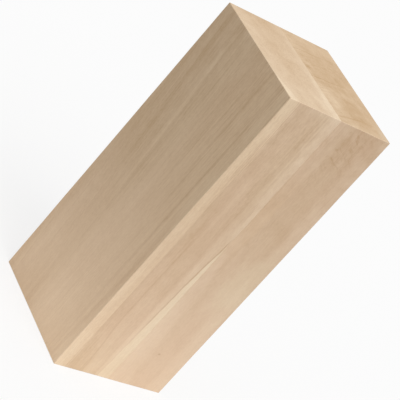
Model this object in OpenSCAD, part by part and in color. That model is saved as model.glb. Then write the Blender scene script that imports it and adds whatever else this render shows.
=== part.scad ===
// Basswood carving block: two boards glued face to face, planed square and sawn to length.
// The block stands on one sawn end, centred on the origin. The grain runs along Z, and the glue line crosses X.

/* [Boards] */
// Thickness of the pale board, on the -X side of the glue line
pale_board_t = 25.4; // [8:0.1:80]
// Thickness of the tan board, on the +X side of the glue line
tan_board_t = 25.4; // [8:0.1:80]
// Width of both boards, planed flush with each other
board_w = 50.8; // [15:0.1:160]
// Length of the block along the grain, between its sawn ends
block_len = 127; // [30:0.5:500]

/* [Arrises] */
// Radius to which every outer edge is eased with sandpaper
arris_r = 0.3; // [0.1:0.1:3]

/* [Colours] */
// Colour of the pale board
pale_colour = "#DCC3A3"; // color
// Colour of the tan board
tan_colour = "#CDB08C"; // color

/* [Hidden] */
$fn = 48;

// Thickness of the glued block, and the glue line's place when the block is centred
block_t = pale_board_t + tan_board_t;
glue_x = pale_board_t - block_t / 2;

// Overrun of the cutting shapes past the faces that they don't cut
overrun = 1;

// Flat rectangle about the origin, with its four corners rounded
module eased_rectangle(across, up) {
    square([across - 2 * arris_r, up], center = true);
    square([across, up - 2 * arris_r], center = true);
    for (sx = [-1, 1], sy = [-1, 1])
        translate([sx * (across / 2 - arris_r), sy * (up / 2 - arris_r)])
            circle(r = arris_r);
}

// The block after planing, sawing and easing: each pair of faces is shared by two of the three bars
module eased_block() {
    translate([0, 0, block_len / 2])
        intersection() {
            // Easing along the grain
            linear_extrude(block_len + 2 * overrun, center = true)
                eased_rectangle(block_t, board_w);
            // Easing of the end edges that cross the glue line
            rotate([0, 90, 0])
                linear_extrude(block_t + 2 * overrun, center = true)
                    eased_rectangle(block_len, board_w);
            // Easing of the end edges that run beside the glue line
            rotate([90, 0, 0])
                linear_extrude(board_w + 2 * overrun, center = true)
                    eased_rectangle(block_t, block_len);
        }
}

// Everything between two places across the boards
module slab(from_x, to_x) {
    translate([from_x, -board_w / 2 - overrun, -overrun])
        cube([to_x - from_x, board_w + 2 * overrun, block_len + 2 * overrun]);
}

module pale_board() {
    color(pale_colour)
        intersection() {
            eased_block();
            slab(-block_t / 2 - overrun, glue_x);
        }
}

module tan_board() {
    color(tan_colour)
        intersection() {
            eased_block();
            slab(glue_x, block_t / 2 + overrun);
        }
}

pale_board();
tan_board();
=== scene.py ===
# %% [markdown]
# # A basswood carving block
# The block is two planed boards of basswood, glued face to face and sawn to length. This lesson loads
# the measured block, models the two boards over it with bmesh, grows a wood figure through them with
# shader nodes, and lights them as in a small photo studio.

import math

import bmesh
import bpy
from mathutils import Matrix, Vector, noise


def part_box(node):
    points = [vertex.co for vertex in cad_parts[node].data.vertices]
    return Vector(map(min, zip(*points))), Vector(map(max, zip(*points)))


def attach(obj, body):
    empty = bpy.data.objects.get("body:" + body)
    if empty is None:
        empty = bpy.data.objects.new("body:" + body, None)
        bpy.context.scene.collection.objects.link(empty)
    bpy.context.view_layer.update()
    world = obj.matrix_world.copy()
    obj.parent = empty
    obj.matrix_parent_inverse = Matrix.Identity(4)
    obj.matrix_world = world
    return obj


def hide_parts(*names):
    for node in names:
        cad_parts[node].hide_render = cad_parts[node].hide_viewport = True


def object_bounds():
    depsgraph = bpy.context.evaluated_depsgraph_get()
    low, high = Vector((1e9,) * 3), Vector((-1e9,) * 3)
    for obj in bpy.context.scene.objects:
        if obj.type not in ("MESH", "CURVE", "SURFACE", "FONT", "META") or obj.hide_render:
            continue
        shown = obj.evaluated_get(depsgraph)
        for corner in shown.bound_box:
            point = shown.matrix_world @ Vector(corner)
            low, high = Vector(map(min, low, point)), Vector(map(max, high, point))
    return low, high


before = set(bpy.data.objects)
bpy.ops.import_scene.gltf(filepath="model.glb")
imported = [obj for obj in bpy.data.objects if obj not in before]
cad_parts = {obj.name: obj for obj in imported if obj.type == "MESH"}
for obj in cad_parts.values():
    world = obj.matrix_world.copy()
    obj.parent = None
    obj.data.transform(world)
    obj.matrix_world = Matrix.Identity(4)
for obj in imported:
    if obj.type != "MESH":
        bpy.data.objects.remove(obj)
cad_low, cad_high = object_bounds()
pale_low, pale_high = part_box("pale_board")
tan_low, tan_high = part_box("tan_board")
print("nodes:", sorted(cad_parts))

# %% [markdown]
# Every size comes from the measured block, so the lesson still works when the block is resized.
# The block stands on a sawn end: its grain runs along Z, and the glue line crosses X.

# %% Sizes that the rest works from
millimetre = 0.001
touching = 0.001 * millimetre
block_size = cad_high - cad_low
block_centre = (cad_low + cad_high) / 2
block_length = block_size.z
glue_x = pale_high.x
arris_radius = block_size.y / 230
print("block in millimetres:", [round(side / millimetre, 1) for side in block_size])


# %% A helper that puts things in the scene
def put_in_scene(name, data):
    """Makes an object of a mesh, a lamp or a lens, and links it to the scene."""
    thing = bpy.data.objects.new(name, data)
    bpy.context.scene.collection.objects.link(thing)
    return thing


# %% [markdown]
# ## Camera
# The photograph looks down on a corner of the standing block, and the picture itself is turned, so that
# the block seems to lie askew. A camera has three axes of its own: right, up and back. They are worked out
# from the direction of view, rolled about it, and set as the columns of the camera's matrix.

# %% Camera
view_azimuth = math.radians(-46.1)
view_elevation = math.radians(21.2)
view_roll = math.radians(41.7)
view_distance = 5.166 * block_length
aim_right = 0.0197 * block_length
aim_up = 0.0126 * block_length

back = Vector((
    math.sin(view_azimuth) * math.cos(view_elevation),
    -math.cos(view_azimuth) * math.cos(view_elevation),
    math.sin(view_elevation),
))
level_right = Vector((0, 0, 1)).cross(back).normalized()
level_up = back.cross(level_right)
right = math.cos(view_roll) * level_right + math.sin(view_roll) * level_up
up = math.cos(view_roll) * level_up - math.sin(view_roll) * level_right
aim = block_centre + right * aim_right + up * aim_up

lens = bpy.data.cameras.new("photo_lens")
lens.lens = 170
lens.sensor_width = 36
lens.clip_start = 0.01
camera = put_in_scene("photo_camera", lens)
camera.matrix_world = Matrix((right, up, back)).transposed().to_4x4()
camera.location = aim + back * view_distance
bpy.context.scene.camera = camera
print("camera at", [round(place, 3) for place in camera.location])

# %% [markdown]
# ## Boards
# A real board is planed flat, sawn across and eased along its edges with sandpaper. A cube does the
# planing, cuts along its edges give it enough points to vary, and a bevel does the sanding. The edges round
# the glue face aren't sanded, because they are inside the block: they get only a hairline chamfer, which
# shows the seam from every side.


# %% A cube with cuts along each side
def runs_along(edge, axis):
    """Says whether an edge of a box runs along X, Y or Z."""
    first, second = edge.verts
    return abs(first.co[axis] - second.co[axis]) > touching


def planed_board(low, high, cuts_each_way):
    """Returns a bmesh of a box between two corners, cut into short lengths along X, Y and Z."""
    shape = bmesh.new()
    bmesh.ops.create_cube(shape, size=1.0)
    bmesh.ops.scale(shape, vec=high - low, verts=shape.verts)
    bmesh.ops.translate(shape, vec=(low + high) / 2, verts=shape.verts)
    for axis, cuts in enumerate(cuts_each_way):
        along = [edge for edge in shape.edges if runs_along(edge, axis)]
        bmesh.ops.subdivide_edges(shape, edges=along, cuts=cuts, use_grid_fill=True)
    return shape


# %% Which edges are sanded
def depths(point):
    """Returns how far a point lies below the nearest outer face of the block, along X, Y and Z."""
    return [min(point[axis] - cad_low[axis], cad_high[axis] - point[axis]) for axis in range(3)]


def on_arris(edge):
    """Says whether both ends of an edge lie on two outer faces at once, and on the same two."""
    first, second = ([depth < touching for depth in depths(vert.co)] for vert in edge.verts)
    return sum(a and b for a, b in zip(first, second)) >= 2


def on_glue_face(face):
    """Says whether a face lies in the plane of the glue line."""
    return all(abs(vert.co.x - glue_x) < touching for vert in face.verts)


# %% Sanding the arrises and opening the seam
seam_chamfer = 0.055 * millimetre


def bevel_edges(shape, edges, width, segments):
    """Bevels some edges of a shape, with a round profile where there is more than one segment."""
    bmesh.ops.bevel(
        shape, geom=edges, offset=width, offset_type="OFFSET", segments=segments,
        profile=0.5, affect="EDGES", material=-1, clamp_overlap=True,
    )


def ease_edges(shape):
    """Rounds the outer arrises, then chamfers the rim of the glue face."""
    arrises = [edge for edge in shape.edges if on_arris(edge)]
    bevel_edges(shape, arrises, arris_radius, segments=4)
    rim = [edge for edge in shape.edges if sum(map(on_glue_face, edge.link_faces)) == 1]
    bevel_edges(shape, rim, seam_chamfer, segments=1)


# %% [markdown]
# Sandpaper never takes the same amount off all along an edge. A bevel has one width, so its points
# are drawn towards the sharp edge, or away from it, by a share that wanders along the block. The points at
# the bevel's sides slide along the flat faces, so the faces stay flat and the block keeps its size.

# %% Uneven sanding
sanding_wander = 0.45
sanding_stretch = 14 * millimetre
sanding_reach = 1.001 * arris_radius


def wander_arrises(shape):
    """Varies the radius of the eased arrises by a smooth noise along the block."""
    moved = 0
    for vert in shape.verts:
        below = depths(vert.co)
        near = [depth < sanding_reach for depth in below]
        if sum(near) < 2:
            continue
        share = 1 + sanding_wander * noise.noise(vert.co / sanding_stretch)
        for axis in range(3):
            if near[axis]:
                outward = 1 if vert.co[axis] > block_centre[axis] else -1
                vert.co[axis] += outward * below[axis] * (1 - share)
        moved += 1
    return moved


# %% From bmesh to mesh
def finished_mesh(name, shape):
    """Turns a bmesh into a mesh, and frees the bmesh."""
    mesh = bpy.data.meshes.new(name)
    shape.to_mesh(mesh)
    shape.free()
    return mesh


# %% Making the two boards
board_cuts = (7, 15, 47)
square_on = 0.999


def finish_board(name, low, high, node):
    """Builds one board, hangs it on the block's body and lets it stand for its measured node."""
    shape = planed_board(low, high, board_cuts)
    ease_edges(shape)
    moved = wander_arrises(shape)
    bmesh.ops.recalc_face_normals(shape, faces=shape.faces)
    mesh = finished_mesh(name, shape)
    for face in mesh.polygons:
        face.use_smooth = max(abs(part) for part in face.normal) < square_on
    board = put_in_scene(name, mesh)
    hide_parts(node)
    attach(board, "root")
    print(name, "has", len(mesh.polygons), "faces, and", moved, "points on its arrises")
    return board


pale_board = finish_board("pale_board_wood", pale_low, pale_high, "pale_board")
tan_board = finish_board("tan_board_wood", tan_low, tan_high, "tan_board")

# %% [markdown]
# ## Wiring helpers
# A shader is a net of small nodes. A few helpers keep each material readable: they add a node, feed its
# sockets with plain numbers or with other nodes' outputs, and hand back the output. Most of the figure
# comes from two of them: a slope, which is a soft step, and a bump, which is a soft band.


# %% Colours and node helpers
def colour(code):
    """Turns a web colour, such as #DCC3A3, into the linear colour that a shader works with."""
    parts = [int(code[place:place + 2], 16) / 255 for place in (1, 3, 5)]
    linear = [part / 12.92 if part <= 0.04045 else ((part + 0.055) / 1.055) ** 2.4 for part in parts]
    return (*linear, 1.0)


class Net:
    """Adds nodes to one node tree and wires them together."""

    def __init__(self, tree):
        self.tree = tree

    def feed(self, socket, value):
        """Links another node's output to a socket, or gives it a plain value."""
        if isinstance(value, bpy.types.NodeSocket):
            self.tree.links.new(value, socket)
        else:
            socket.default_value = value

    def feed_in_turn(self, sockets, values):
        for socket, value in zip(sockets, values):
            self.feed(socket, value)

    def add(self, kind, inputs=None, **options):
        """Adds a node, sets its options and feeds the sockets that are named."""
        node = self.tree.nodes.new("ShaderNode" + kind)
        for option, value in options.items():
            setattr(node, option, value)
        for socket, value in (inputs or {}).items():
            self.feed(node.inputs[socket], value)
        return node

    def group(self, tree, inputs):
        """Places a node group, feeds its inputs and returns its outputs."""
        return self.add("Group", inputs, node_tree=tree).outputs

    def math(self, operation, *values):
        node = self.add("Math", operation=operation)
        self.feed_in_turn(node.inputs, values)
        return node.outputs["Value"]

    def vector(self, operation, *values):
        node = self.add("VectorMath", operation=operation)
        self.feed_in_turn(node.inputs, values)
        return node.outputs["Value" if operation == "LENGTH" else "Vector"]

    def split(self, place):
        """The X, Y and Z of a place, by name."""
        return self.add("SeparateXYZ", {"Vector": place}).outputs

    def slope(self, value, low, high, start=0.0, end=1.0):
        """A smooth slope from start, where value is low, to end, where value is high."""
        ends = {"Value": value, "From Min": low, "From Max": high, "To Min": start, "To Max": end}
        return self.add("MapRange", ends, interpolation_type="SMOOTHSTEP").outputs["Result"]

    def bump(self, value, centre, reach):
        """A soft bump: 1 where value is at the centre, and 0 further off than the reach."""
        away = self.math("ABSOLUTE", self.math("SUBTRACT", value, centre))
        return self.slope(away, reach, 0.0)

    def invert(self, mask):
        """A mask turned inside out: 1 where it was 0."""
        return self.math("SUBTRACT", 1.0, mask)

    def grains(self, place, stretch, detail=2.0, roughness=0.5, curl=0.0):
        """Noise from 0 to 1 whose grains are as long along X, Y and Z as stretch says."""
        spread = self.vector("DIVIDE", place, stretch)
        pattern = {"Detail": detail, "Roughness": roughness, "Distortion": curl}
        return self.add("TexNoise", {"Vector": spread, "Scale": 1.0, **pattern}).outputs["Fac"]

    def years_noise(self, years, scale, detail):
        """Noise from 0 to 1 that depends on the year alone."""
        settings = {"W": years, "Scale": scale, "Detail": detail}
        return self.add("TexNoise", settings, noise_dimensions="1D").outputs["Fac"]

    def swing(self, value, amount):
        """Turns a value round 0.5 into one that swings round 0 by the amount."""
        return self.math("MULTIPLY", self.math("SUBTRACT", value, 0.5), 2 * amount)

    def choose(self, share, first, second):
        """The first value where share is 0, the second where it is 1, and a blend between."""
        node = self.add("Mix", data_type="FLOAT")
        # A Mix node has sockets for every type: 2 and 3 take its two numbers.
        self.feed_in_turn([node.inputs[turn] for turn in (0, 2, 3)], (share, first, second))
        return node.outputs[0]

    def mix(self, blend, share, first, second):
        """Lays a second colour over the first, by a share from 0 to 1."""
        node = self.add("Mix", data_type="RGBA", blend_type=blend)
        # Sockets 6 and 7 take its two colours, and output 2 gives the mixed one.
        self.feed_in_turn([node.inputs[turn] for turn in (0, 6, 7)], (share, first, second))
        return node.outputs[2]

    def total(self, *values):
        summed = values[0]
        for value in values[1:]:
            summed = self.math("ADD", summed, value)
        return summed

    def times(self, *values):
        product = values[0]
        for value in values[1:]:
            product = self.math("MULTIPLY", product, value)
        return product


# %% New groups and materials
def new_group(name, inputs, outputs):
    """Makes a shader node group with named sockets, and returns its net, entry and exit."""
    tree = bpy.data.node_groups.new(name, "ShaderNodeTree")
    for socket, kind in inputs.items():
        tree.interface.new_socket(name=socket, in_out="INPUT", socket_type="NodeSocket" + kind)
    for socket, kind in outputs.items():
        tree.interface.new_socket(name=socket, in_out="OUTPUT", socket_type="NodeSocket" + kind)
    entry = tree.nodes.new("NodeGroupInput").outputs
    exit_ = tree.nodes.new("NodeGroupOutput").inputs
    return Net(tree), entry, exit_


def new_material(name):
    """Makes a material without nodes, and returns it with its net."""
    material = bpy.data.materials.new(name)
    material.use_nodes = True
    material.node_tree.nodes.clear()
    return material, Net(material.node_tree)


# %% [markdown]
# ## Growth rings
# A trunk lays down one ring a year about its pith. Inside a board a ring is a shell of a wide cylinder,
# so the distance from the pith's line is the natural measure of it: it draws arcs on a sawn end, straight
# lines on a face that cuts across the rings, and broad tongues on a face that runs along them. A slow noise
# makes the rings wander, and each year has a tone of its own.


# %% Growth ring group
def make_growth_rings():
    inputs = {"Place": "Vector", "Pith": "Vector", "Ring Width": "Float", "Wander": "Float"}
    net, entry, exit_ = new_group("growth_rings", inputs, {"Radius": "Float", "Year Tone": "Float"})
    away = net.vector("SUBTRACT", entry["Place"], entry["Pith"])
    across = net.vector("LENGTH", net.vector("MULTIPLY", away, (1, 1, 0)))
    slow = net.math("SUBTRACT", net.grains(entry["Place"], (16, 16, 90), detail=1.0), 0.5)
    quick = net.math("SUBTRACT", net.grains(entry["Place"], (3, 3, 40), detail=2.0), 0.5)
    drift = net.math("MULTIPLY_ADD", quick, 0.25, slow)
    radius = net.math("MULTIPLY_ADD", drift, entry["Wander"], across)
    years = net.math("DIVIDE", radius, entry["Ring Width"])
    net.feed(exit_["Radius"], radius)
    net.feed(exit_["Year Tone"], net.years_noise(years, scale=0.8, detail=2.0))
    return net.tree


growth_rings = make_growth_rings()
print("growth rings use", len(growth_rings.nodes), "nodes")

# %% [markdown]
# ## Fibres
# Basswood is fine and even: its fibres show as soft streaks along the grain, and its pores as short dark
# hairs. The same noise, stretched far along Z, gives hairs on the long faces and specks on the sawn ends,
# where the fibres are cut across. Slow clouds of tone and of hue stop a face from looking printed.


# %% Fibre group
def make_fibres():
    names = ("Cloud", "Rosy", "Mottle", "Smudge", "Broad", "Streaks", "Specks", "Hairs", "Height")
    net, entry, exit_ = new_group("fibres", {"Place": "Vector"}, dict.fromkeys(names, "Float"))
    place = entry["Place"]
    elsewhere = net.vector("ADD", place, (300, 0, 0))
    net.feed(exit_["Cloud"], net.grains(place, (15, 15, 28), detail=2.0))
    rosy = net.grains(elsewhere, (8, 8, 60), detail=2.0)
    net.feed(exit_["Rosy"], net.slope(rosy, 0.25, 0.75, 0.35, 0.65))
    net.feed(exit_["Mottle"], net.grains(place, (3.5, 3.5, 4.5), detail=3.0))
    net.feed(exit_["Smudge"], net.grains(elsewhere, (5.0, 5.0, 7.0), detail=3.0, curl=0.6))
    net.feed(exit_["Broad"], net.grains(place, (2.6, 2.6, 55), detail=2.0))
    streaks = net.grains(place, (0.6, 0.6, 42), detail=3.0, roughness=0.6)
    net.feed(exit_["Streaks"], streaks)
    net.feed(exit_["Specks"], net.grains(place, (0.4, 0.4, 1.1), detail=1.0))
    short_hairs = net.slope(net.grains(place, (0.3, 0.3, 5), detail=1.0), 0.58, 0.74)
    long_hairs = net.slope(net.grains(place, (0.45, 0.45, 24), detail=1.0), 0.58, 0.72)
    hairs = net.math("MAXIMUM", short_hairs, long_hairs)
    net.feed(exit_["Hairs"], hairs)
    net.feed(exit_["Height"], net.math("MULTIPLY_ADD", hairs, -0.6, streaks))
    return net.tree


fibres = make_fibres()
print("fibres use", len(fibres.nodes), "nodes")

# %% [markdown]
# ## Sawn ends, and worn arrises with a painted highlight
# A sawn end drinks in more light than a planed face, so it is duller, and the saw leaves faint strokes
# across it. Arrises that have been handled are a touch paler, because the sandpaper has opened fresh wood,
# and the same paler colour is also a painted highlight along them. Both need only the distance to the
# block's faces, which plain sums give.


# %% Sawn end and arris group
def make_outer_faces():
    inputs = {"Place": "Vector", "Half Size": "Vector", "Middle": "Vector", "Arris": "Float"}
    outputs = dict.fromkeys(("End", "Wear And Highlight", "Saw"), "Float")
    net, entry, exit_ = new_group("outer_faces", inputs, outputs)
    from_middle = net.vector("ABSOLUTE", net.vector("SUBTRACT", entry["Place"], entry["Middle"]))
    below = net.split(net.vector("SUBTRACT", entry["Half Size"], from_middle))
    end = net.slope(below["Z"], net.math("MULTIPLY", entry["Arris"], 0.7), 0.0)
    nearest = net.math("MINIMUM", below["X"], net.math("MINIMUM", below["Y"], below["Z"]))
    farthest = net.math("MAXIMUM", below["X"], net.math("MAXIMUM", below["Y"], below["Z"]))
    middle = net.math("SUBTRACT", net.total(below["X"], below["Y"], below["Z"]), nearest)
    to_arris = net.math("SUBTRACT", middle, farthest)
    rub = net.grains(entry["Place"], (2.5, 2.5, 6), detail=3.0)
    reach = net.math("MULTIPLY", entry["Arris"], net.math("MULTIPLY_ADD", rub, 2.2, 0.2))
    net.feed(exit_["End"], end)
    # The arrises, paler as worn wood and as a painted highlight along the edges.
    net.feed(exit_["Wear And Highlight"], net.slope(to_arris, reach, 0.0))
    net.feed(exit_["Saw"], net.grains(entry["Place"], (9, 0.35, 0.35), detail=2.0))
    return net.tree


outer_faces = make_outer_faces()
print("outer faces use", len(outer_faces.nodes), "nodes")

# %% [markdown]
# ## The two woods
# Each wood is worked out as a tone, from 0 for the palest sapwood to 1 for the brownest heart, and one
# colour ramp turns the tone into a colour. So every streak, ring and pore keeps to the few hues that
# basswood has, and a band is made stronger or weaker by one number. Three more hues lie thinly over the
# ramp: a rosy tint that drifts along the grain, a golden one where light has aged the wood, and the pale,
# open wood of worn arrises, which also serves as a painted highlight along them.


# %% The place that patterns read, and the outer faces
def start_wood(name):
    """Starts a wood material: its net, and the place in millimetres that its patterns read."""
    material, net = new_material(name)
    where = net.add("TexCoord").outputs["Object"]
    place = net.add("Mapping", {"Vector": where, "Scale": (1 / millimetre,) * 3}).outputs["Vector"]
    return material, net, place


def add_outer_faces(net, place):
    """Adds the sawn ends and worn arrises of the whole block."""
    settings = {
        "Place": place,
        "Half Size": block_size / 2 / millimetre,
        "Middle": block_centre / millimetre,
        "Arris": arris_radius / millimetre,
    }
    return net.group(outer_faces, settings)


# %% The hues of basswood
sapwood = colour("#FAE4C6")
fresh_wood = colour("#E6CBAB")
brown_heart = colour("#BE986A")
rosy_tint = colour("#FFF9FC")
golden_tint = colour("#FFFCF3")
# The pale, open wood of worn arrises, which also serves as a painted highlight along them.
worn_wood_and_highlight = colour("#EDDCC4")
fresh_tone = 0.42


def wood_hue(net, tone, rosy, golden, wear_and_highlight):
    """Turns the tone into a hue, and lays the three other hues over it by their shares."""
    ramp = net.add("ValToRGB", {"Fac": tone})
    ramp.color_ramp.elements[0].color = sapwood
    ramp.color_ramp.elements[1].color = brown_heart
    ramp.color_ramp.elements.new(fresh_tone).color = fresh_wood
    rosy_wood = net.mix("MULTIPLY", rosy, ramp.outputs["Color"], rosy_tint)
    aged_wood = net.mix("MULTIPLY", golden, rosy_wood, golden_tint)
    # The worn wood colour is laid on by its share: partly wear, partly a painted highlight.
    return net.mix("MIX", wear_and_highlight, aged_wood, worn_wood_and_highlight)


# %% From hue to shader
relief_depth = 0.1 * millimetre


def finish_wood(net, hue, fibre, faces):
    """Gives the hue to the shader, with a roughness and a bump from the fibres and the saw."""
    dullness = net.math("MULTIPLY_ADD", faces["End"], 0.4, fibre["Streaks"])
    rough = net.slope(dullness, 0.2, 1.1, 0.58, 0.8)
    strokes = net.times(faces["Saw"], faces["End"])
    height = net.math("MULTIPLY_ADD", strokes, 0.8, fibre["Height"])
    relief = {"Strength": 0.12, "Distance": relief_depth, "Height": height}
    bump = net.add("Bump", relief).outputs["Normal"]
    shader = net.add("BsdfPrincipled", {"Base Color": hue, "Roughness": rough, "Normal": bump})
    shader.inputs["Specular IOR Level"].default_value = 0.25
    net.add("OutputMaterial", {"Surface": shader.outputs["BSDF"]})


# %% [markdown]
# Both boards have soft clouds of paler or darker wood, and both are rougher near the top, where the grain
# tears a little. A cloud is an oval: the distance from its middle, divided by its size each way, makes a
# mask, and noise tears its edge. The fibre patterns are shared, and each board gives them strengths of its
# own.

# %% Places on the block
width_mm = block_size.x / millimetre
length_mm = block_length / millimetre
outer_x = cad_low.x / millimetre
front_y = cad_low.y / millimetre


def block_place(net, place):
    """X and Y of a place in millimetres, and its height as a share of the block's length."""
    across, depth, height = net.split(place).values()
    return across, depth, net.math("DIVIDE", height, length_mm)


def side_spot(depth, height):
    """A spot on the outer face of the pale board, by shares of the block's width and length."""
    return Vector((outer_x, depth * width_mm, height * length_mm))


def front_spot(across, height):
    """A spot on the front, by shares of the block's width and length."""
    return Vector((across * width_mm, front_y, height * length_mm))


def end_spot(across, depth):
    """A spot on the top end, by shares of the block's width."""
    return Vector((across * width_mm, depth * width_mm, length_mm))


# %% Clouds and fibres of both boards
def soft_spot(net, place, centre, size, wander):
    """A mask of a soft oval spot: 1 in its middle, and 0 past its size along X, Y and Z."""
    offset = net.vector("DIVIDE", net.vector("SUBTRACT", place, centre), size)
    return net.slope(net.total(net.vector("LENGTH", offset), wander), 1.0, 0.3)


def cloud(net, place, wander, centre, size, tone):
    """The tone of one soft spot."""
    return net.times(soft_spot(net, place, centre, size, wander), tone)


def torn_edge(net, place):
    """A wander that tears the bound of a soft spot."""
    return net.swing(net.grains(place, (4, 4, 9), detail=3.0, curl=0.6), 0.7)


def fibre_tone(net, fibre, strengths):
    """The tone of the fibre patterns, by their strengths. Hairs only darken, and the others swing."""
    tones = []
    for name, strength in strengths.items():
        pattern = fibre[name] if name == "Hairs" else net.swing(fibre[name], 1.0)
        tones.append(net.times(pattern, strength))
    return net.total(*tones)


def smudge_strength(net, faces, height, start, least):
    """The strength of the smudges, which grows towards the top and is less on the sawn end."""
    smudged = net.slope(height, start, 0.97, least, 0.2)
    return net.math("MULTIPLY_ADD", faces["End"], -0.11, smudged)


# %% Top and foot of both boards
# How much of the worn wood colour the arrises take: real wear and a painted highlight.
arris_wear_and_highlight = 0.25


def pale_rim(net, across, height):
    """The tone of the paler top of the front face, on both sides of the glue line."""
    beside_glue = net.bump(across, -0.04 * width_mm, 0.3 * width_mm)
    return net.times(beside_glue, net.slope(height, 0.93, 1.0), -0.14)


def pale_top(net, across, height):
    """A mask of the paler top fifth of the pale board, which reaches just past the glue line."""
    as_far_as = net.slope(across, 0.09 * width_mm, 0.03 * width_mm)
    return net.times(as_far_as, net.slope(height, 0.76, 0.84))


def painted_foot_shade(net, height):
    """The tone of the foot of the block, which is a little darker: painted shade near the floor."""
    return net.slope(height, 0.0, 0.15, 0.03, 0.0)


def aged_top(net, height, least):
    """The share of the golden tint, which grows towards the top."""
    return net.slope(height, 0.3, 0.8, least, least + 0.2)


# %% [markdown]
# ## The pale board
# The pale board comes from far out in its trunk, so its rings are almost flat and lie along its outer
# face. Across its edge they show as straight bands: a light strip, two darker bands with a lighter streak
# between them, and paler sapwood towards the glue line. The bands are measured inwards, from 0 at the outer
# face to 1 at the glue line, and each is a soft step or bump of that measure.

# %% Pale board: the measure across the bands
pale_pith = Vector((2.6 * width_mm, 0.55 * width_mm, 0))


def across_pale_board(net, radius, height):
    """0 at the outer face and 1 at the glue line; near the bottom the middle bands lean inwards."""
    outermost = (Vector((outer_x, front_y, 0)) - pale_pith).length
    innermost = (Vector((glue_x / millimetre, front_y, 0)) - pale_pith).length
    settings = {"Value": radius, "From Min": outermost, "From Max": innermost}
    inward = net.add("MapRange", settings).outputs["Result"]
    bottom = net.slope(height, 0.22, 0.0)
    lean = net.times(bottom, net.bump(inward, 0.46, 0.24), -0.085)
    return net.total(inward, lean)


# %% Pale board: the light strip and the bands
def light_strip(net, inward, height, lower, hairs):
    """The tone of the light strip beside the outer face, and a mask of it. Its bound is hairy."""
    hairiness = net.slope(height, 0.4, 1.0, 0.3, 1.6)
    narrower_above = net.slope(height, 0.2, 0.8, -0.01, 0.015)
    rough = net.total(inward, narrower_above, net.times(hairs, hairiness))
    strip = net.slope(rough, 0.205, 0.17)
    paler_above = net.slope(height, 0.6, 0.75, -0.03, -0.12)
    outer_edge = net.times(net.bump(inward, 0.05, 0.1), paler_above)
    rim = net.times(net.bump(inward, 0.0, 0.07), lower, -0.09)
    inner_line = net.times(net.bump(rough, 0.225, 0.025), lower, 0.04)
    return net.total(net.times(strip, -0.24), outer_edge, rim, inner_line), strip


def pale_bands(net, inward, height, lower):
    """The tone of the lines and bands between the light strip and the glue line."""
    lowest = net.slope(height, 0.42, 0.28)
    upper = net.slope(height, 0.42, 0.6)
    half_way = net.bump(height, 0.48, 0.14)
    above_foot = net.slope(height, 0.03, 0.15)
    below_top = net.slope(height, 0.94, 0.86)
    foot = net.slope(height, 0.12, 0.0)
    outer_line = net.times(net.bump(inward, 0.27, 0.02), lower, 0.05)
    paler_band = net.times(net.bump(inward, 0.31, 0.14), lower, above_foot, -0.05)
    middle_line = net.times(net.bump(inward, 0.42, 0.022), lower, 0.10)
    inner_half = net.times(net.slope(inward, 0.41, 0.45), lowest, -0.04)
    streak = net.times(net.bump(inward, 0.485, 0.07), upper, below_top, -0.06)
    toe = net.times(net.bump(inward, 0.62, 0.2), foot, -0.14)
    waist = net.times(net.slope(inward, 0.7, 0.55), half_way, 0.04)
    inner_band = net.times(net.bump(inward, 0.67, 0.12), 0.06)
    sap_strength = net.math("MULTIPLY_ADD", lower, 0.4, 0.6)
    sap = net.times(net.slope(inward, 0.75, 0.79), sap_strength, -0.12)
    lines = net.total(outer_line, middle_line, streak)
    return net.total(lines, paler_band, inner_half, toe, waist, inner_band, sap)


# %% [markdown]
# Beside the glue line lie two pale shapes. From the top a streak runs down and narrows to nothing at
# half height. From the bottom a wedge of sapwood rises to a tip that bends to the glue line, and a thin
# dark line, strongest near the tip, bounds it. Both are the space between the glue line and a slanting
# bound, so each is one sum. Towards the back of the board the wedge sinks and the streak narrows, so the
# back face has a figure of its own.

# %% Pale board: the streak and the wedge beside the glue line
streak_end = 0.5
wedge_tip = 0.55
wedge_root = -0.107 * width_mm
wedge_lean = 0.086 * width_mm / wedge_tip
wedge_drop = 0.5 / length_mm


def seam_streak(net, across, depth, height, wobble):
    """A mask of the pale streak that narrows from the top down to half height, and towards the back."""
    wide = -0.09 * width_mm
    front_bound = net.slope(height, 0.64, 0.74, wide / 2, wide)
    bound = net.times(front_bound, net.slope(depth, front_y, -front_y, 1.0, 0.3))
    inside = net.total(net.math("SUBTRACT", across, bound), net.times(wobble, 2.0))
    softness = net.slope(height, 0.62, 0.72, 0.7, 2.4)
    share = net.math("DIVIDE", net.total(inside, 0.4), softness)
    return net.times(net.slope(share, 0.0, 1.0), net.slope(height, streak_end, 1.25 * streak_end))


def sapwood_wedge(net, across, height, wobble):
    """Masks of the pale wedge, and of the dark line that bounds it."""
    straight_bound = net.math("MULTIPLY_ADD", height, wedge_lean, wedge_root)
    bent_tip = net.slope(height, 0.82 * wedge_tip, 0.93 * wedge_tip, 0.0, 0.6)
    bound = net.total(straight_bound, bent_tip)
    inside = net.total(net.math("SUBTRACT", across, bound), wobble)
    below_tip = net.slope(height, wedge_tip, 0.88 * wedge_tip)
    wedge = net.times(net.slope(inside, 0.0, 0.4), below_tip)
    foot_strength = net.slope(height, 0.2 * wedge_tip, 0.5 * wedge_tip, 0.2, 0.95)
    tip_strength = net.slope(height, 0.8 * wedge_tip, wedge_tip, 0.0, 0.25)
    strength = net.total(foot_strength, tip_strength)
    above_tip = net.slope(height, 1.04 * wedge_tip, 0.94 * wedge_tip)
    line = net.times(net.bump(inside, -0.15, 0.5), strength, above_tip)
    return wedge, line


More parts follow.
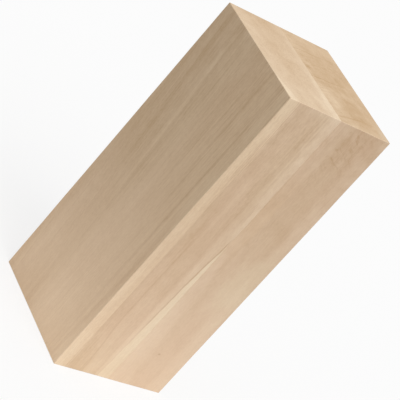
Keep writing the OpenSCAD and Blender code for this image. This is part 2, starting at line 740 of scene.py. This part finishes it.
# %% Pale board: the whole figure of the front
def pale_figure(net, place, hairs, wobble):
    """The tone of the figure, and masks of the streak, the wedge and the light strip in it."""
    across, depth, height = block_place(net, place)
    ring_settings = {"Place": place, "Pith": pale_pith, "Ring Width": 4.6, "Wander": 2.0}
    rings = net.group(growth_rings, ring_settings)
    inward = across_pale_board(net, rings["Radius"], height)
    lower = net.slope(height, 0.55, 0.42)
    strip_tone, strip = light_strip(net, inward, height, lower, hairs)
    behind = net.math("SUBTRACT", depth, front_y)
    higher_behind = net.math("MULTIPLY_ADD", behind, wedge_drop, height)
    wedge, line = sapwood_wedge(net, across, higher_behind, wobble)
    wedge_tone = net.slope(height, 0.1, 0.45, -0.15, -0.28)
    streak = seam_streak(net, across, depth, height, wobble)
    figure = net.total(
        strip_tone,
        pale_bands(net, inward, height, lower),
        net.swing(rings["Year Tone"], 0.05),
        net.times(wedge, wedge_tone),
        net.times(line, 0.26),
        net.times(streak, -0.17),
    )
    return figure, streak, wedge, strip


# %% [markdown]
# The outer face of the pale board runs along the rings, so it is smoother. Over the back half a few soft
# streaks lean with the trunk's twist. Near the front corner run a few straight dark lines, and one that
# leans into the corner. The face is also a little darker towards the top, most of all at the top: painted
# shade.

# %% Pale board: streaks and lines on the outer face
trunk_twist = 0.09 * length_mm


def lean_with_trunk(net, place):
    """The place that the fibres read: towards the back of the board they lean with the trunk's twist."""
    depth, height = block_place(net, place)[1:]
    twist = net.slope(depth, -0.35 * width_mm, 0.5 * width_mm, 0.0, -trunk_twist)
    shift = net.times(twist, net.math("SUBTRACT", height, 0.6))
    return net.vector("ADD", place, net.add("CombineXYZ", {"Y": shift}).outputs["Vector"])


def leaning_streaks(net, depth, height, wobble):
    """The tone of the streaks that lean over the back half of the outer face."""
    twisted = net.total(net.math("MULTIPLY_ADD", height, -trunk_twist, depth), wobble)
    upper = net.slope(height, 0.3, 0.6)
    below_top = net.slope(height, 0.97, 0.86)
    dark_back = net.times(net.slope(twisted, 0.245 * width_mm, 0.275 * width_mm), 0.05)
    dark_streak = net.times(net.bump(twisted, 0.173 * width_mm, 1.8), 0.10)
    pale_streak = net.times(net.bump(twisted, 0.037 * width_mm, 2.0), below_top, -0.08)
    middle_line = net.times(net.bump(twisted, 0.0, 1.4), 0.07)
    front_line = net.times(net.bump(twisted, -0.035 * width_mm, 1.1), 0.07)
    return net.times(net.total(dark_back, dark_streak, pale_streak, middle_line, front_line), upper)


def corner_lines(net, depth, height, wobble):
    """The tone of the straight lines on the front half, and of the one that leans into the corner."""
    straight = net.total(depth, net.times(wobble, 0.5))
    top = net.slope(height, 0.5, 0.8)
    rise = net.slope(height, 0.25, 0.5, 0.5, 1.0)
    fall = net.slope(height, 0.65, 0.85, 1.0, 0.5)
    corner_path = net.slope(height, 0.0, 0.35, -0.42 * width_mm, -0.46 * width_mm)
    corner_reach = net.slope(height, 0.1, 0.35, 1.4, 2.0)
    corner_tone = net.slope(height, 0.3, 0.85, 0.12, -0.07)
    return net.total(
        net.times(net.bump(straight, -0.06 * width_mm, 0.7), top, 0.10),
        net.times(net.bump(straight, -0.24 * width_mm, 0.9), top, 0.12),
        net.times(net.bump(straight, -0.385 * width_mm, 0.9), rise, fall, 0.15),
        net.times(net.bump(straight, -0.412 * width_mm, 0.8), rise, fall, -0.06),
        net.times(net.bump(straight, corner_path, corner_reach), corner_tone),
    )


def outer_face_tone(net, depth, height, wobble):
    """The tone of the outer face: paler in front, and darker towards the top, which is painted shade."""
    front_part = net.total(depth, net.times(wobble, 4.0))
    paler_front = net.slope(front_part, 0.14 * width_mm, -0.1 * width_mm)
    back_margin = net.slope(depth, 0.39 * width_mm, 0.47 * width_mm)
    lower = net.slope(height, 0.45, 0.3)
    return net.total(
        # Painted shade: the outer face is darker towards the top.
        net.slope(height, 0.0, 1.0, -0.07, 0.05),
        net.times(paler_front, net.slope(height, 0.0, 1.0, -0.15, -0.08)),
        net.times(back_margin, lower, 0.09),
        leaning_streaks(net, depth, height, wobble),
        corner_lines(net, depth, height, wobble),
    )


# %% [markdown]
# A few clouds of the pale board are big enough to know it by, so each is placed one by one: some on the
# outer face, two near the glue line on the front, and some on the sawn end. Sandpaper has brushed the last
# few millimetres below the top, and the end is paler in front and beside the glue line.


# %% Pale board: clouds, rim and end
def pale_clouds(net, place):
    """The tone of the single clouds on the outer face, on the front and on the end."""
    torn = torn_edge(net, place)
    low = cloud(net, place, torn, side_spot(-0.1, 0.06), (1, 10, 26), -0.06)
    dark = cloud(net, place, torn, side_spot(0.28, 0.5), (6, 11, 30), 0.07)
    pale = cloud(net, place, torn, side_spot(0.13, 0.91), (6, 7, 22), -0.07)
    corner = cloud(net, place, torn, side_spot(-0.38, 0.86), (1, 7, 17), -0.08)
    top = cloud(net, place, torn, side_spot(0.31, 0.95), (1, 4.5, 22), 0.08)
    sap = cloud(net, place, torn, front_spot(-0.09, 0.41), (3, 5, 7), -0.07)
    band = cloud(net, place, torn, front_spot(-0.115, 0.645), (2.2, 5, 12), 0.06)
    front = cloud(net, place, torn, end_spot(-0.12, -0.38), (6, 5, 1.5), -0.08)
    middle = cloud(net, place, torn, end_spot(-0.24, -0.08), (8, 9, 1.5), 0.06)
    margin = cloud(net, place, torn, end_spot(-0.35, -0.3), (4, 10, 1.5), 0.06)
    rear = cloud(net, place, torn, end_spot(-0.2, 0.43), (7, 8, 1.5), 0.06)
    on_outer_face = net.total(low, dark, pale, corner, top)
    return net.total(on_outer_face, sap, band, front, middle, margin, rear)


def sanded_rim(net, height):
    """A mask of the last few millimetres below the top, which the sandpaper has brushed."""
    return net.slope(height, 1 - 3.0 / length_mm, 1 - 0.5 / length_mm)


def pale_end(net, across, depth):
    """The tone of the sawn end, which is paler in front, by the glue line and along the outer margin."""
    outer_margin = net.slope(across, -0.25 * width_mm, -0.42 * width_mm)
    off_corner = net.slope(depth, -0.47 * width_mm, -0.35 * width_mm, 0.0, -0.06)
    return net.total(
        net.slope(depth, front_y, -front_y, -0.05, 0.06),
        net.slope(across, -0.09 * width_mm, -0.01 * width_mm, 0.0, -0.07),
        net.times(outer_margin, off_corner),
    )


# %% Pale board: strength of the fibres
def pale_fibres(net, fibre, faces, depth, height, streak, strip, on_outer_face):
    """The tone of the fibres, which are rougher towards the top and smoother on the outer face."""
    front_streaks = net.total(0.8, net.times(streak, -0.42), net.times(strip, 0.5))
    outer_streaks = net.slope(depth, -front_y, front_y, 0.68, 1.2)
    streak_share = net.choose(on_outer_face, front_streaks, outer_streaks)
    rougher_above = net.slope(height, 0.38, 0.9, 0.68, 1.25)
    streak_strength = net.times(streak_share, rougher_above)
    front_mottle = net.math("MULTIPLY_ADD", streak, 0.1, 0.08)
    speck_rise = net.slope(height, 0.5, 0.9, 0.11, 0.15)
    front_specks = net.total(speck_rise, net.times(strip, 0.06), net.times(streak, 0.04))
    smudges = smudge_strength(net, faces, height, 0.72, 0.02)
    return fibre_tone(net, fibre, {
        "Cloud": 0.12,
        "Mottle": net.choose(on_outer_face, front_mottle, 0.05),
        "Smudge": net.times(smudges, net.choose(on_outer_face, 1.0, 0.6)),
        "Broad": 0.08,
        "Streaks": net.times(streak_strength, 0.15),
        "Specks": net.choose(on_outer_face, front_specks, 0.12),
        "Hairs": net.times(streak_strength, net.choose(on_outer_face, 0.06, 0.09)),
    })


# %% Pale board: rosy and golden tints
def pale_tints(net, fibre, depth, height, wedge, strip, on_outer_face):
    """The shares of the rosy and the golden tint on the planed faces of the pale board."""
    on_front = net.invert(on_outer_face)
    above_foot = net.slope(height, 0.0, 0.2, 0.3, 1.0)
    front_strip = net.times(on_front, strip)
    special = net.math("MAXIMUM", wedge, net.math("MAXIMUM", strip, on_outer_face))
    plain_rosy = net.times(fibre["Rosy"], net.invert(special))
    front_rosy = net.total(plain_rosy, net.times(front_strip, 0.45))
    outer_rosy = net.total(
        net.slope(depth, 0.14 * width_mm, -0.1 * width_mm, 0.0, 0.25),
        net.slope(height, 0.25, 0.75, 0.3, -0.05),
    )
    rosy = net.total(net.times(front_rosy, above_foot), net.times(outer_rosy, on_outer_face))
    outer_golden = net.slope(depth, 0.4 * width_mm, -0.4 * width_mm, 0.2, 0.65)
    golden = net.total(
        net.times(front_strip, above_foot, 0.4),
        net.times(aged_top(net, height, 0.12), on_front),
        net.times(outer_golden, on_outer_face),
    )
    return rosy, golden


# %% [markdown]
# The pale board's material adds all this up: the figure on the front, the back and the ends, the streaks
# on the outer face, and the clouds, rims and fibres everywhere. On the sawn end the figure fades towards
# the back, because the rough ends of the fibres hide it.

# %% Pale board: the material
pale_tone = 0.46


def pale_wood():
    material, net, place = start_wood("pale_basswood_finish")
    across, depth, height = block_place(net, place)
    fibre = net.group(fibres, {"Place": lean_with_trunk(net, place)})
    faces = add_outer_faces(net, place)
    planed = net.invert(faces["End"])
    on_outer_face = net.slope(across, outer_x + 0.4, outer_x + 0.1)
    off_outer_face = net.invert(on_outer_face)
    wobble = net.swing(net.grains(place, (30, 30, 7), detail=1.0), 0.5)
    hairs = net.times(net.swing(fibre["Streaks"], 0.14), planed)
    figure, streak, wedge, strip = pale_figure(net, place, hairs, wobble)
    faded = net.slope(depth, 0.1 * width_mm, -0.45 * width_mm, -0.75, -0.15)
    figure_strength = net.math("MULTIPLY_ADD", faces["End"], faded, 1.0)
    tone = net.total(
        pale_tone,
        net.times(figure, figure_strength, off_outer_face),
        net.times(outer_face_tone(net, depth, height, wobble), on_outer_face),
        pale_clouds(net, place),
        net.times(pale_rim(net, across, height), planed),
        net.times(sanded_rim(net, height), planed, off_outer_face, -0.08),
        net.times(pale_top(net, across, height), planed, off_outer_face, -0.03),
        pale_fibres(net, fibre, faces, depth, height, streak, strip, on_outer_face),
        net.times(faces["End"], pale_end(net, across, depth)),
        # Painted shade: the foot of the pale board's front, back and end is a little darker near the floor.
        net.times(painted_foot_shade(net, height), off_outer_face),
    )
    rosy, golden = pale_tints(net, fibre, depth, height, wedge, strip, on_outer_face)
    # Worn arrises, partly a painted highlight along the edges.
    wear_and_highlight = net.times(faces["Wear And Highlight"], arris_wear_and_highlight)
    hue = wood_hue(net, tone, net.times(rosy, planed), net.times(golden, planed), wear_and_highlight)
    finish_wood(net, hue, fibre, faces)
    return material


pale_finish = pale_wood()
pale_board.data.materials.append(pale_finish)
print("pale wood uses", len(pale_finish.node_tree.nodes), "nodes")

# %% [markdown]
# ## The tan board
# The tan board was cut along its rings, with the pith well in front of its front face. On the sawn end
# its rings are shallow arcs, of which four are clear. The front face runs along a ring, so it is cloudy
# rather than streaked: a restless brown heart zone lies between two lighter edges, with short curling lines
# near the top.

# %% Tan board: arcs on the end
tan_pith = Vector((0.45 * width_mm, -2.2 * width_mm, 0))


def tan_arcs(net, radius, across):
    """A mask of the clear rings of the tan board, by their distance from the pith."""
    towards_glue = net.slope(across, 0.4 * width_mm, 0.15 * width_mm, 0.3, 1.0)
    front_arc = net.bump(radius, 1.826 * width_mm, 0.5)
    main_arc = net.bump(radius, 2.212 * width_mm, 0.55)
    rear_arc = net.bump(radius, 2.514 * width_mm, 0.55)
    faint_arc = net.times(net.bump(radius, 2.366 * width_mm, 0.5), 0.4)
    return net.times(net.total(front_arc, main_arc, rear_arc, faint_arc), towards_glue)


# %% Tan board: the heart zone and its curls
curl_slant = math.radians(-35)


def heart_zone(net, across, depth, height, wander):
    """A mask of the brown heart zone: its left bound drifts outwards down the lower half."""
    lower_bound = net.add("MapRange", {
        "Value": height, "From Min": 0.0, "From Max": 0.5,
        "To Min": 0.19 * width_mm, "To Max": 0.07 * width_mm,
    }).outputs["Result"]
    upper = net.slope(height, 0.48, 0.62)
    raised = net.times(upper, net.math("SUBTRACT", 0.115 * width_mm, lower_bound))
    bay = net.times(net.bump(height, 0.36, 0.1), 0.04 * width_mm)
    bound = net.total(lower_bound, raised, bay)
    inside = net.total(net.math("SUBTRACT", across, bound), wander)
    right_side = net.slope(net.total(across, wander), 0.41 * width_mm, 0.34 * width_mm)
    front_half = net.slope(depth, 0.25 * width_mm, 0.0)
    return net.times(net.slope(inside, -0.8, 1.2), right_side, front_half)


def curly_figure(net, place, height):
    """A mask of the short curling lines near the top of the front face."""
    slant = {"Vector": place, "Angle": curl_slant}
    turned = net.add("VectorRotate", slant, rotation_type="Y_AXIS").outputs["Vector"]
    lines = net.slope(net.grains(turned, (4.5, 4.5, 1.4), detail=3.0, curl=0.8), 0.5, 0.7)
    near_top = net.slope(height, 0.72, 0.95)
    return net.times(lines, near_top)


def tan_figure(net, place, faces, wander):
    """The tone of the rings, the heart zone and its curls."""
    across, depth, height = block_place(net, place)
    ring_settings = {"Place": place, "Pith": tan_pith, "Ring Width": 3.4, "Wander": 3.0}
    rings = net.group(growth_rings, ring_settings)
    year_strength = net.math("MULTIPLY_ADD", faces["End"], 0.01, 0.05)
    arc_strength = net.math("MULTIPLY_ADD", faces["End"], 0.11, 0.06)
    heart = net.times(heart_zone(net, across, depth, height, wander), net.invert(faces["End"]))
    return net.total(
        net.times(heart, 0.10),
        net.times(net.swing(rings["Year Tone"], 1.0), year_strength),
        net.times(tan_arcs(net, rings["Radius"], across), arc_strength),
        net.times(curly_figure(net, place, height), heart, 0.17),
    )


# %% [markdown]
# Single patches are placed one by one again: a pale one half way up the front, a small dark speck near the
# bottom, and pale and brown ones on the end. Short feathery strokes lean away from the glue line on the
# end, a stretch of the front beside the seam has aged to a golden hue, and the front corner of the end has
# a painted highlight in the pale colour of worn wood.


# %% Tan board: patches and speck
def tan_patches(net, place, ragged):
    """The tone of the single patches and of the speck, and a mask of the pale patch half way up."""
    torn = torn_edge(net, place)
    half_way = soft_spot(net, place, front_spot(0.39, 0.43), (13, 5, 20), torn)
    front = net.times(half_way, -0.08)
    upper = cloud(net, place, torn, front_spot(0.48, 0.68), (9, 5, 16), -0.08)
    speck = cloud(net, place, ragged, front_spot(0.225, 0.13), (0.8, 5, 0.55), 0.25)
    seam = cloud(net, place, torn, end_spot(0.06, -0.23), (6, 8, 1.5), -0.15)
    brown = cloud(net, place, torn, end_spot(0.27, -0.28), (9, 10, 1.5), 0.12)
    rear_brown = cloud(net, place, torn, end_spot(0.18, 0.05), (12, 13, 1.5), 0.11)
    rear_pale = cloud(net, place, torn, end_spot(0.28, 0.42), (8, 8, 1.5), -0.07)
    side = cloud(net, place, torn, end_spot(0.43, 0.18), (6, 4, 1.5), 0.10)
    return net.total(front, upper, speck, seam, brown, rear_brown, rear_pale, side), half_way


# %% Tan board: the end and its painted corner highlight
def tan_feathers(net, place, across):
    """The tone of the short feathery strokes that lean away from the glue line on the end."""
    lean = net.add("CombineXYZ", {"Y": net.times(across, -0.3)}).outputs["Vector"]
    strokes = net.grains(net.vector("ADD", place, lean), (6, 0.8, 60), detail=2.0)
    near_glue = net.slope(across, 0.24 * width_mm, 0.04 * width_mm)
    return net.times(net.swing(strokes, 0.17), near_glue)


def tan_end(net, place, across, depth):
    """The tone of the sawn end, which is browner away from the glue line, with paler margins; the paler
    front rim is a painted highlight.
    """
    return net.total(
        net.slope(across, 0.05 * width_mm, 0.3 * width_mm, 0.10, 0.17),
        net.slope(depth, 0.3 * width_mm, 0.5 * width_mm, 0.0, -0.04),
        # Painted highlight: a paler rim along the front edge of the end.
        net.slope(depth, front_y + 3.5, front_y + 1.0, 0.0, -0.05),
        tan_feathers(net, place, across),
    )


def tan_wear_and_highlight(net, place, faces, ragged):
    """The share of the worn wood colour: along the arrises, where it is wear and a painted highlight, and
    at the front corner of the end, where it is a painted highlight.
    """
    # Painted highlight on the front corner of the end, in the worn wood colour.
    corner_highlight = cloud(net, place, ragged, end_spot(0.5, -0.47), (6, 10, 1), 0.3)
    return net.math("MAXIMUM", net.times(faces["Wear And Highlight"], arris_wear_and_highlight), corner_highlight)


# %% Tan board: fibres and aged seam
def tan_fibres(net, fibre, faces, across, height):
    """The tone of the fibres, which are rougher towards the top. Broad streaks lie by the glue line."""
    beside_glue = net.slope(across, 0.12 * width_mm, 0.08 * width_mm)
    streak_strength = net.slope(height, 0.5, 0.85, 0.6, 1.0)
    return fibre_tone(net, fibre, {
        "Cloud": 0.15,
        "Mottle": net.slope(height, 0.0, 0.8, 0.05, 0.13),
        "Smudge": smudge_strength(net, faces, height, 0.75, 0.03),
        "Broad": net.math("MULTIPLY_ADD", beside_glue, 0.056, 0.024),
        "Streaks": net.times(streak_strength, 0.07),
        "Specks": 0.10,
        "Hairs": net.times(streak_strength, 0.06),
    })


def aged_seam(net, across, height):
    """A mask of the aged stretch of the front beside the seam, a little above half height."""
    mid_height = net.bump(height, 0.64, 0.25)
    return net.times(net.slope(across, 0.14 * width_mm, 0.1 * width_mm), mid_height)


# %% Tan board: the material
tan_tone = 0.395


def tan_wood():
    material, net, place = start_wood("tan_basswood_finish")
    across, depth, height = block_place(net, place)
    fibre = net.group(fibres, {"Place": place})
    faces = add_outer_faces(net, place)
    planed = net.invert(faces["End"])
    wander = net.swing(net.grains(place, (9, 9, 14), detail=3.0), 2.5)
    ragged = net.times(wander, 0.1)
    patches, half_way = tan_patches(net, place, ragged)
    lower = net.slope(height, 0.55, 0.3)
    pale_foot = net.times(net.slope(across, 0.14 * width_mm, 0.04 * width_mm), lower)
    aged = net.times(aged_seam(net, across, height), planed)
    tone = net.total(
        tan_tone,
        tan_figure(net, place, faces, wander),
        patches,
        net.times(pale_foot, -0.06),
        net.times(aged, 0.05),
        net.times(pale_rim(net, across, height), planed),
        net.times(pale_top(net, across, height), planed, -0.05),
        # Painted light thrown up from the floor: the tan board is paler towards the bottom and darker
        # towards the top.
        net.slope(height, 0.1, 0.9, -0.10, 0.03),
        tan_fibres(net, fibre, faces, across, height),
        net.times(faces["End"], tan_end(net, place, across, depth)),
        # Painted shade: the foot of the tan board is a little darker near the floor.
        painted_foot_shade(net, height),
    )
    rosy = net.times(fibre["Rosy"], planed, net.invert(half_way))
    golden_end = net.times(faces["End"], 0.1)
    golden = net.total(aged_top(net, height, 0.0), golden_end, net.times(aged, 0.4))
    # The worn wood colour: wear and a painted highlight on the arrises, a painted highlight at the front
    # corner.
    hue = wood_hue(net, tone, rosy, golden, tan_wear_and_highlight(net, place, faces, ragged))
    finish_wood(net, hue, fibre, faces)
    return material


tan_finish = tan_wood()
tan_board.data.materials.append(tan_finish)
print("tan wood uses", len(tan_finish.node_tree.nodes), "nodes")

# %% [markdown]
# ## Floor, world and light
# The floor is white to the camera, and it keeps a soft shadow of the block. For the light that it throws
# back, only a patch round the block is white, as with a sheet of card on a darker table: that lifts the
# lower half of the block. The world is white to the camera and a soft grey light to everything else.

# %% Floor
floor_radius = 30 * block_length

shape = bmesh.new()
bmesh.ops.create_circle(shape, cap_ends=True, cap_tris=True, segments=96, radius=floor_radius)
floor_mesh = finished_mesh("floor", shape)
floor = put_in_scene("floor", floor_mesh)
print("floor radius in metres:", round(floor_radius, 2))

# %% Floor paper
card_radius = 0.9 * block_length
card_white = 0.95
table_grey = 0.28
paper_white = 0.97
paper_glow = 0.75
full_white = (1, 1, 1, 1)


def seen_directly(net):
    """1 for rays from the camera, by way of mirrors and glass too, and 0 for the rays that carry light."""
    rays = net.add("LightPath").outputs
    direct = net.math("MAXIMUM", rays["Is Camera Ray"], rays["Is Glossy Ray"])
    return net.math("MAXIMUM", direct, rays["Is Transmission Ray"])


def floor_paper():
    material, net = new_material("floor_paper")
    seen = seen_directly(net)
    out = net.vector("LENGTH", net.add("TexCoord").outputs["Object"])
    underfoot = net.slope(out, 0.2 * card_radius, 0.6 * card_radius, 0.8, 1.0)
    card = net.slope(out, 0.5 * card_radius, 1.5 * card_radius, card_white, table_grey)
    white = net.math("MAXIMUM", net.times(card, underfoot), net.times(seen, paper_white))
    shade = net.add("CombineColor", {"Red": white, "Green": white, "Blue": white}).outputs["Color"]
    paper = net.add("BsdfDiffuse", {"Color": shade}).outputs["BSDF"]
    glow = net.add("Emission", {"Color": full_white, "Strength": 1.0}).outputs["Emission"]
    blend = net.add("MixShader")
    net.feed_in_turn(blend.inputs, (net.times(seen, paper_glow), paper, glow))
    net.add("OutputMaterial", {"Surface": blend.outputs["Shader"]})
    return material


floor_mesh.materials.append(floor_paper())
print("card radius in metres:", round(card_radius, 2))

# %% World
world_light = 0.56

world = bpy.data.worlds.new("studio")
world.use_nodes = True
world.node_tree.nodes.clear()
net = Net(world.node_tree)
strength = net.math("MAXIMUM", seen_directly(net), world_light)
sky = net.add("Background", {"Color": full_white, "Strength": strength})
net.add("OutputWorld", {"Surface": sky.outputs["Background"]})
bpy.context.scene.world = world
print("world light on the block:", world_light)

# %% Key light
key_direction = Vector((-0.055, -0.272, 0.354))
key_level = key_direction.length

key_lamp = bpy.data.lights.new("key_softbox", "SUN")
key_lamp.angle = math.radians(50)
key_lamp.energy = key_level * math.pi
key = put_in_scene("key_softbox", key_lamp)
key.rotation_mode = "QUATERNION"
key.rotation_quaternion = key_direction.to_track_quat("Z", "Y")
key.location = block_centre + key_direction * 10 * block_length
print("key light strength:", round(key_lamp.energy, 2))

# %% [markdown]
# The Standard view shows a colour as it is written.

# %% View and finish
bpy.context.scene.view_settings.view_transform = "Standard"
